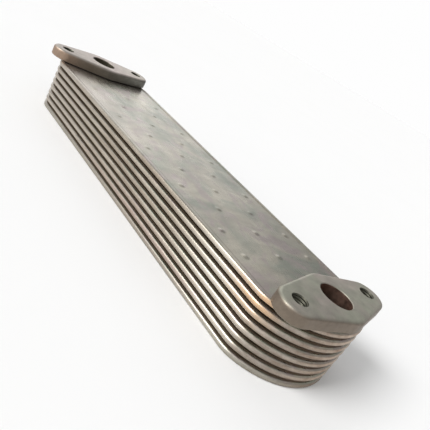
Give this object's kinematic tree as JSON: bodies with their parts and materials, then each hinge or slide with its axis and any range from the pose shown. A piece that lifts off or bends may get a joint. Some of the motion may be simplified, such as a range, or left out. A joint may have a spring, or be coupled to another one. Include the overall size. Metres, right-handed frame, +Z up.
{
  "type": "hydraulic oil cooler",
  "caption": "Brazed stacked-plate oil cooler core: flat round-ended oil elements with open coolant gaps between them and a tapped rhomboid port flange on top at each end.",
  "frame": {"origin": "centre of the underside of the lowest pan, on the plane that the cooler rests on", "axes": "+X along the length towards the inlet flange, +Y across the plates, +Z up, out of the ports"},
  "size_m": [0.336, 0.093, 0.0484],
  "materials": {
    "plate_steel": "satin stainless sheet, lightly mottled by furnace brazing",
    "flange_steel": "dull grey machined steel plate",
    "fin_steel": "thin bare sheet, matt",
    "copper_braze": "dull brown copper braze"
  },
  "bodies": {
    "root": {"element_1_cover": "plate_steel", "element_1_inlet_port_ring": "fin_steel", "element_1_outlet_port_ring": "fin_steel", "element_1_pan": "plate_steel", "element_1_turbulator": "fin_steel", "element_2_cover": "plate_steel", "element_2_inlet_port_ring": "fin_steel", "element_2_outlet_port_ring": "fin_steel", "element_2_pan": "plate_steel", "element_2_turbulator": "fin_steel", "element_3_cover": "plate_steel", "element_3_inlet_port_ring": "fin_steel", "element_3_outlet_port_ring": "fin_steel", "element_3_pan": "plate_steel", "element_3_turbulator": "fin_steel", "element_4_cover": "plate_steel", "element_4_inlet_port_ring": "fin_steel", "element_4_outlet_port_ring": "fin_steel", "element_4_pan": "plate_steel", "element_4_turbulator": "fin_steel", "element_5_cover": "plate_steel", "element_5_inlet_port_ring": "fin_steel", "element_5_outlet_port_ring": "fin_steel", "element_5_pan": "plate_steel", "element_5_turbulator": "fin_steel", "element_6_cover": "plate_steel", "element_6_inlet_port_ring": "fin_steel", "element_6_outlet_port_ring": "fin_steel", "element_6_pan": "plate_steel", "element_6_turbulator": "fin_steel", "element_7_cover": "plate_steel", "element_7_inlet_port_ring": "fin_steel", "element_7_outlet_port_ring": "fin_steel", "element_7_pan": "plate_steel", "element_7_turbulator": "fin_steel", "element_8_cover": "plate_steel", "element_8_inlet_port_ring": "fin_steel", "element_8_outlet_port_ring": "fin_steel", "element_8_pan": "plate_steel", "element_8_turbulator": "fin_steel", "inlet_braze_ring": "copper_braze", "inlet_flange": "flange_steel", "outlet_braze_ring": "copper_braze", "outlet_flange": "flange_steel", "spacer_1_2_inlet": "copper_braze", "spacer_1_2_outlet": "copper_braze", "spacer_2_3_inlet": "copper_braze", "spacer_2_3_outlet": "copper_braze", "spacer_3_4_inlet": "copper_braze", "spacer_3_4_outlet": "copper_braze", "spacer_4_5_inlet": "copper_braze", "spacer_4_5_outlet": "copper_braze", "spacer_5_6_inlet": "copper_braze", "spacer_5_6_outlet": "copper_braze", "spacer_6_7_inlet": "copper_braze", "spacer_6_7_outlet": "copper_braze", "spacer_7_8_inlet": "copper_braze", "spacer_7_8_outlet": "copper_braze"}
  },
  "joints": []
}
